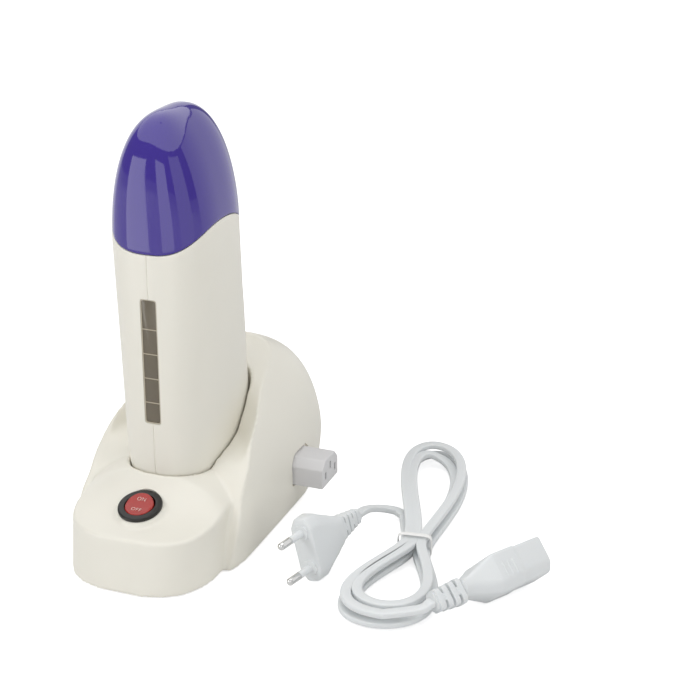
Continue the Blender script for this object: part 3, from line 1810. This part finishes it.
    def pocket(self) -> bpy.types.Object:
        """Solid of the pocket that the handset stands in."""
        form = self.handset
        rows = []
        for z in [form.foot + i for i in range(0, 23, 2)] + [70, 85, 100]:
            y = form.middle(z)
            front = form.front_at(min(z, form.foot + form.toe_h)) - self.pocket_gap
            rear = form.rear_at(min(z, form.foot + 11)) + self.pocket_gap
            half, n = form.half_width(z) + self.pocket_gap, form.square
            ring = self.oval(half, y - front, rear - y, n, n, y, 144)
            rows.append([(a, b, z) for a, b in ring])
        return mesh_object("tool", *loft(rows))

    def at_switch(self) -> Matrix:
        """Frame of the switch, with z out of its bezel."""
        return turned(self.switch_place, (self.switch_tilt, "X"))

    def nose_outline(self, grow: float, radius: float) -> Outline:
        """Outline of the side socket's nose, across and up."""
        w, h, c = self.nose[0] / 2 + grow, self.nose[1] / 2 + grow, 4.5
        corners = [(-w, -h), (w, -h), (w, h - c), (w - c, h), (c - w, h), (-w, h - c)]
        return rounded(corners, radius, 4)

    def housing(self) -> bpy.types.Object:
        """Makes the base's moulding, with its soft edges.

        Returns:
            The housing.
        """
        levels = [-0.5] + [2.0 * i for i in range(0, 30)] + [60 + 1.5 * i for i in range(0, 21)]
        levels += [91.5, 93, 94, 94.8, 95.3, 95.65, 95.85, 95.96]
        rows = [[(x, y, z) for x, y in self.hood_ring(z)] for z in levels]
        piece = mesh_object("docking_housing", *loft(rows))
        combine(piece, [self.front_cut()], "DIFFERENCE")
        r = self.bezel_d / 2
        pad = mesh_object("pad", *lathe([(r + 3, -12), (r + 0.9, -2)], 96), self.at_switch())
        combine(piece, [self.lobe(), pad], "UNION")
        combine(piece, [self.pocket(), box_tool((-100, -150, -10), (100, 150, self.stand))], "DIFFERENCE")
        melt = piece.modifiers.new("melt", "REMESH")
        melt.mode = "VOXEL"
        melt.voxel_size = self.voxel * MM
        melt.use_smooth_shade = True
        ease = piece.modifiers.new("ease", "SMOOTH")
        ease.factor = 0.5
        ease.iterations = 5
        bake(piece)
        x, y, z = self.socket
        seat_rows = [[(x0, y + a, z + b) for a, b in self.nose_outline(1.3, 2.4)] for x0 in (x - 2.2, x + 10)]
        tools = [
            mesh_object("tool", *loft(seat_rows)),
            bore_tool(10.1, -20, 10, self.at_switch()),
            bore_tool(self.bezel_d / 2 + 0.15, -2.05, 20, self.at_switch(), 96),
        ]
        tools += [bore_tool(2.4, 20, 50, Matrix.Translation((s * 9, -8, 0)), 32) for s in (-1, 1)]
        tools += [
            bore_tool(3.1, -5, self.stand + 1.5, Matrix.Translation(p), 32)
            for p in ((32, 52, 0), (-32, 52, 0), (29, -54, 0), (-29, -54, 0))
        ]
        cutters = merge(tools[:1] + tools[1:2] + tools[3:], "cutters")
        combine(piece, [cutters, tools[2]], "DIFFERENCE")
        # mouth for the bottom plate
        inset = self.wall + 0.3
        plate_rows = [[(a, b, h) for a, b in self.hood_ring(self.stand, inset, 96)] for h in (0, 3.5)]
        hood_mouth = mesh_object("tool", *loft(plate_rows))
        combine(hood_mouth, [box_tool((-80, -160, -5), (80, self.ridge_foot + inset, 10))], "DIFFERENCE")
        middle = self.lobe_reach - self.length / 2
        reach = self.lobe_reach - 0.68 - inset
        n = self.lobe_squareness
        edge = self.oval(self.lobe_w / 2 - inset, reach, 60, n, n, middle, 96)
        lobe_mouth = mesh_object("tool", *loft([[(a, b, h) for a, b in edge] for h in (-0.2, 3.5)]))
        combine(piece, [hood_mouth, lobe_mouth], "DIFFERENCE")
        smooth(piece, 38)
        return finish_piece(piece, Body.BASE, self.finishes["ivory_abs"], "ivory_abs", "base_housing")

    def switch(self) -> list[bpy.types.Object]:
        """Makes the switch's bezel and body, and the rocker with its lettering.

        Returns:
            The bezel, the rocker and the letters.
        """
        r, hole = self.bezel_d / 2, self.rocker_d / 2 + 0.35
        profile = [(0.01, -16), (9.4, -16), (10, -15.4), (10, -2), (r - 0.1, -2), (r, -1.85), (r, -0.75)]
        profile += [(r - 0.12, -0.4), (r - 0.4, -0.12), (r - 0.85, 0.0), (hole + 0.7, 0.0)]
        profile += [(hole + 0.25, -0.12), (hole, -0.5), (hole, -2.5), (hole + 0.5, -9.4), (0.01, -9.4)]
        body = mesh_object("switch_bezel", *lathe(profile, 128), self.at_switch())
        smooth(body, 40)
        finish_piece(body, Body.BASE, self.finishes["black_pa"], "black_pa", "switch_body")
        rocker = self.rocker()
        letters = [self.letters("ON", 3.35), self.letters("OFF", -3.5)]
        printed = merge(letters, "switch_letters")
        finish_piece(printed, Body.ROCKER, self.finishes["lettering"], "red_lens")
        return [body, rocker, printed]

    def rocker_top(self, y: float) -> float:
        """Height of the rocker's top over its pivot, across its two wings."""
        ridge = math.hypot(y, 0.6) - 0.6
        return 4.3 + ridge * math.tan(math.radians(8))

    def at_rocker(self) -> Matrix:
        """Frame of the rocker, as it stands when it is off."""
        return (
            self.at_switch()
            @ Matrix.Translation((0, 0, self.pivot))
            @ Matrix.Rotation(math.radians(self.throw / 2), 4, "X")
        )

    def rocker(self) -> bpy.types.Object:
        """Makes the rocker with its two wings and rounded edge.

        Returns:
            The rocker.
        """
        r = self.rocker_d / 2
        steps = 96
        rows: list[Row] = []
        for low, k in ((-3.5, 0.72), (-2.6, 0.93), (-1.0, 1.0), (1.5, 1.0), (3.2, 1.0)):
            rows.append(
                [
                    (r * k * math.cos(math.tau * i / steps), r * k * math.sin(math.tau * i / steps), low)
                    for i in range(steps)
                ]
            )
        rounding = [(1.0, -0.75), (0.99, -0.4), (0.96, -0.14), (0.91, -0.02), (0.84, 0.0)]
        rounding += [(0.84 * (1 - i / 12), 0.0) for i in range(1, 12)] + [(0.004, 0.0)]
        for k, drop in rounding:
            row = []
            for i in range(steps):
                x = r * k * math.cos(math.tau * i / steps)
                y = r * k * math.sin(math.tau * i / steps)
                # a shallow finger dish in each wing
                dish = 0.28 * max(0.0, 1 - ((abs(y) - r * 0.5) / (r * 0.42)) ** 2)
                dish *= max(0.0, 1 - (x / (r * 0.8)) ** 2)
                row.append((x, y, self.rocker_top(y) + drop - (dish if drop == 0 else 0)))
            rows.append(row)
        across = self.at_rocker() @ Matrix.Rotation(math.pi / 2, 4, "Y")
        pins = bore_tool(1.2, -9.3, 9.3, across, 32)
        body = mesh_object("rocker_body", *loft(rows), self.at_rocker())
        piece = merge([body, pins], "red_rocker")
        smooth(piece, 40)
        return finish_piece(piece, Body.ROCKER, self.finishes["red_lens"], "red_lens", "rocker")

    def letters(self, word: str, y: float) -> bpy.types.Object:
        """Makes one printed word on the rocker.

        Args:
            word: ON or OFF.
            y: Where its middle stands across the rocker.

        Returns:
            The word as a mesh.
        """
        curve = bpy.data.curves.new(word, "FONT")
        curve.body = word
        curve.size = 3.0 * MM
        curve.align_x = "CENTER"
        curve.align_y = "CENTER"
        curve.extrude = 0.12 * MM
        curve.offset = -0.05 * MM
        curve.space_character = 1.15
        source = bpy.data.objects.new(word, curve)
        bpy.context.scene.collection.objects.link(source)
        graph = bpy.context.evaluated_depsgraph_get()
        mesh = bpy.data.meshes.new_from_object(source.evaluated_get(graph))
        bpy.data.objects.remove(source)
        lean = math.radians(8) * (1 if y > 0 else -1)
        at = self.at_rocker() @ Matrix.Translation((0, y, self.rocker_top(y) - 0.02))
        at = at @ Matrix.Rotation(lean, 4, "X")
        mesh.transform(in_metres(at))
        made = bpy.data.objects.new(f"word_{word.lower()}", mesh)
        bpy.context.scene.collection.objects.link(made)
        return made

    def side_socket(self) -> bpy.types.Object:
        """Makes the nose of the side socket with its three slots.

        Returns:
            The socket.
        """
        x, y, z = self.socket
        end = x + self.nose_reach
        stations = [(x - 6, 0.0, 0.7), (end - 0.8, 0.0, 0.7), (end - 0.25, -0.18, 0.7), (end, -0.6, 0.7)]
        rows = [[(px, y + a, z + b) for a, b in self.nose_outline(grow, r)] for px, grow, r in stations]
        piece = mesh_object("side_socket_nose", *loft(rows))
        flange_rows = [[(px, y + a, z + b) for a, b in self.nose_outline(2.0, 1.0)] for px in (x - 8, x - 6)]
        slots = [
            box_tool((x, y + a - 0.95, z + b - 2.2), (end + 1, y + a + 0.95, z + b + 2.2))
            for a, b in self.contacts
        ]
        combine(piece, slots, "DIFFERENCE")
        piece = merge([piece, mesh_object("flange", *loft(flange_rows))], "side_socket_nose")
        smooth(piece, 35)
        return finish_piece(
            piece, Body.BASE, self.finishes["cool_grey_pvc"], "cool_grey_pvc", "side_socket"
        )

    def build(self) -> None:
        """Makes the base's pieces."""
        self.housing()
        self.switch()
        self.side_socket()


# ---- the studio --------------------------------------------------------------------------------------------


@dataclass
class Studio:
    """Camera at the photograph's place, soft light and a white sweep."""

    place_m: Point = (0.3547, -0.6925, 0.4142)
    turn: Point = (67.75, 0.0, 20.98)
    lens: float = 81.0
    card_radius: float = 0.42
    sky: float = 0.56
    sky_in_gloss: float = 0.2
    floor_lift: float = 0.64

    def camera(self) -> None:
        """Makes the camera."""
        data = bpy.data.cameras.new("camera")
        data.lens, data.sensor_width = self.lens, 36.0
        data.clip_start, data.clip_end = 0.02, 40.0
        made = bpy.data.objects.new("camera", data)
        made.location = self.place_m
        made.rotation_euler = [math.radians(a) for a in self.turn]
        bpy.context.scene.collection.objects.link(made)
        bpy.context.scene.camera = made

    def panel(
        self, name: str, place_m: Point, aim: Point, size: tuple[float, float], watts: float
    ) -> bpy.types.Object:
        """Makes one soft light panel.

        Args:
            name: Its name.
            place_m: Where it hangs, in metres.
            aim: What it points at, in metres.
            size: Its width and height in metres.
            watts: Its power.

        Returns:
            The panel.
        """
        data = bpy.data.lights.new(name, "AREA")
        data.shape = "RECTANGLE"
        data.size, data.size_y = size
        data.energy = watts
        made = bpy.data.objects.new(name, data)
        made.location = place_m
        made.rotation_euler = (Vector(aim) - Vector(place_m)).to_track_quat("-Z", "Y").to_euler()
        made.visible_glossy = False
        bpy.context.scene.collection.objects.link(made)
        return made

    def card(self, name: str, around: tuple[float, float], up: tuple[float, float], strength: float) -> None:
        """Makes a glowing card that only polished surfaces show.

        Args:
            name: Its name.
            around: Its two edges, in degrees from the front towards the right.
            up: Its lower and upper edge, in degrees over the horizon.
            strength: How brightly it glows.
        """
        steps, r = 16, self.card_radius / MM
        points, faces = [], []
        for j in range(steps + 1):
            el = math.radians(up[0] + (up[1] - up[0]) * j / steps)
            for i in range(steps + 1):
                az = math.radians(around[0] + (around[1] - around[0]) * i / steps)
                flat = r * math.cos(el)
                points.append((flat * math.sin(az), -flat * math.cos(az), 120 + r * math.sin(el)))
        for j in range(steps):
            for i in range(steps):
                k = j * (steps + 1) + i
                faces.append((k, k + 1, k + steps + 2, k + steps + 1))
        made = mesh_object(name, points, faces)
        material, tree = new_material(name)
        glow = place(tree, "ShaderNodeEmission", {"Color": (1, 1, 1, 1), "Strength": strength})
        place(tree, "ShaderNodeOutputMaterial", {"Surface": glow.outputs[0]})
        made.data.materials.append(material)
        made.visible_camera = made.visible_diffuse = made.visible_shadow = False
        made.visible_transmission = made.visible_volume_scatter = False

    @staticmethod
    def seen(tree: bpy.types.NodeTree, path: bpy.types.Node) -> bpy.types.NodeSocket:
        """Whether the camera sees a place, directly or through a clear piece."""
        rays = {0: path.outputs["Is Camera Ray"], 1: path.outputs["Is Transmission Ray"]}
        return place(tree, "ShaderNodeMath", rays, operation="MAXIMUM").outputs[0]

    def world(self) -> None:
        """Lights the scene evenly, and shows white behind it."""
        world = bpy.data.worlds.new("studio")
        bpy.context.scene.world = world
        world.use_nodes = True
        tree = world.node_tree
        tree.nodes.clear()
        path = place(tree, "ShaderNodeLightPath")
        seen = self.seen(tree, path)
        dim = place(
            tree,
            "ShaderNodeMapRange",
            {"Value": path.outputs["Is Glossy Ray"], "To Min": self.sky, "To Max": self.sky_in_gloss},
        )
        even = place(
            tree, "ShaderNodeBackground", {"Color": (1, 1, 1, 1), "Strength": dim.outputs["Result"]}
        )
        white = place(tree, "ShaderNodeBackground", {"Color": (1, 1, 1, 1), "Strength": 1.0})
        mixed = place(
            tree,
            "ShaderNodeMixShader",
            {0: seen, 1: even.outputs[0], 2: white.outputs[0]},
        )
        place(tree, "ShaderNodeOutputWorld", {"Surface": mixed.outputs[0]})

    def floor(self) -> bpy.types.Object:
        """Makes the white sweep that everything stands on.

        Returns:
            The floor.
        """
        half = 9.0
        made = mesh_object(
            "sweep",
            [(x * half / MM, y * half / MM, 0) for x, y in ((-1, -1), (1, -1), (1, 1), (-1, 1))],
            [(0, 1, 2, 3)],
        )
        material, tree = new_material("white_sweep")
        path = place(tree, "ShaderNodeLightPath")
        seen = self.seen(tree, path)
        paper = place(tree, "ShaderNodeBsdfDiffuse", {"Color": (0.86, 0.86, 0.86, 1)})
        lift = place(tree, "ShaderNodeMath", {0: seen, 1: self.floor_lift}, operation="MULTIPLY")
        glow = place(tree, "ShaderNodeEmission", {"Color": (1, 1, 1, 1), "Strength": lift.outputs[0]})
        both = place(tree, "ShaderNodeAddShader", {0: paper.outputs[0], 1: glow.outputs[0]})
        place(tree, "ShaderNodeOutputMaterial", {"Surface": both.outputs[0]})
        made.data.materials.append(material)
        return made

    def build(self) -> None:
        """Sets up light, floor and the colour view."""
        scene = bpy.context.scene
        scene.view_settings.view_transform = "Standard"
        self.world()
        self.floor()
        self.panel("front_left_panel", (-0.95, -1.15, 0.95), (0, 0, 0.12), (0.8, 0.9), 7.6)
        self.panel("top_panel", (0.15, -0.1, 1.7), (0.03, 0, 0), (1.2, 1.2), 6.4)
        self.panel("right_panel", (1.5, -0.5, 0.7), (0.05, 0, 0.1), (0.5, 1.0), 3.6)
        self.card("left_card", (-49, -24), (-15, 24), 2.3)
        self.card("middle_card", (-8, 18), (-15, 27), 1.7)
        self.card("right_card", (38, 78), (-15, 36), 1.0)
        self.card("top_card", (-180, 180), (41, 88), 1.6)
        self.card("rear_right_card", (102, 178), (-15, 40), 0.95)
        self.card("rear_left_card", (-170, -100), (-15, 40), 1.0)


def dress_hidden(frame: dict, finishes: FinishSet) -> None:
    """Gives each construction piece that still shows its finish.

    Args:
        frame: What the frame's loader returned.
        finishes: The finishes.
    """
    slots = {row["node"]: row["material_slot"] for row in frame["record"]["subparts"]}
    for name, node in frame["nodes"].items():
        if node.hide_render:
            continue
        material = finishes[slots[name]]
        if not node.material_slots:
            node.data.materials.append(material)
        for entry in node.material_slots:
            entry.material = material
        LOG.info("%s keeps its construction shape in %s", name, material.name)


def main() -> None:
    """Loads the frame and dresses it."""
    logging.basicConfig(level=logging.INFO, format="%(name)s %(message)s")
    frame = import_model()
    studio = Studio()
    studio.camera()
    finishes = FinishSet()
    MainsLead(finishes).build()
    Handset(finishes).build()
    DockingBase(finishes).build()
    dress_hidden(frame, finishes)
    studio.build()


if __name__ == "__main__":
    main()
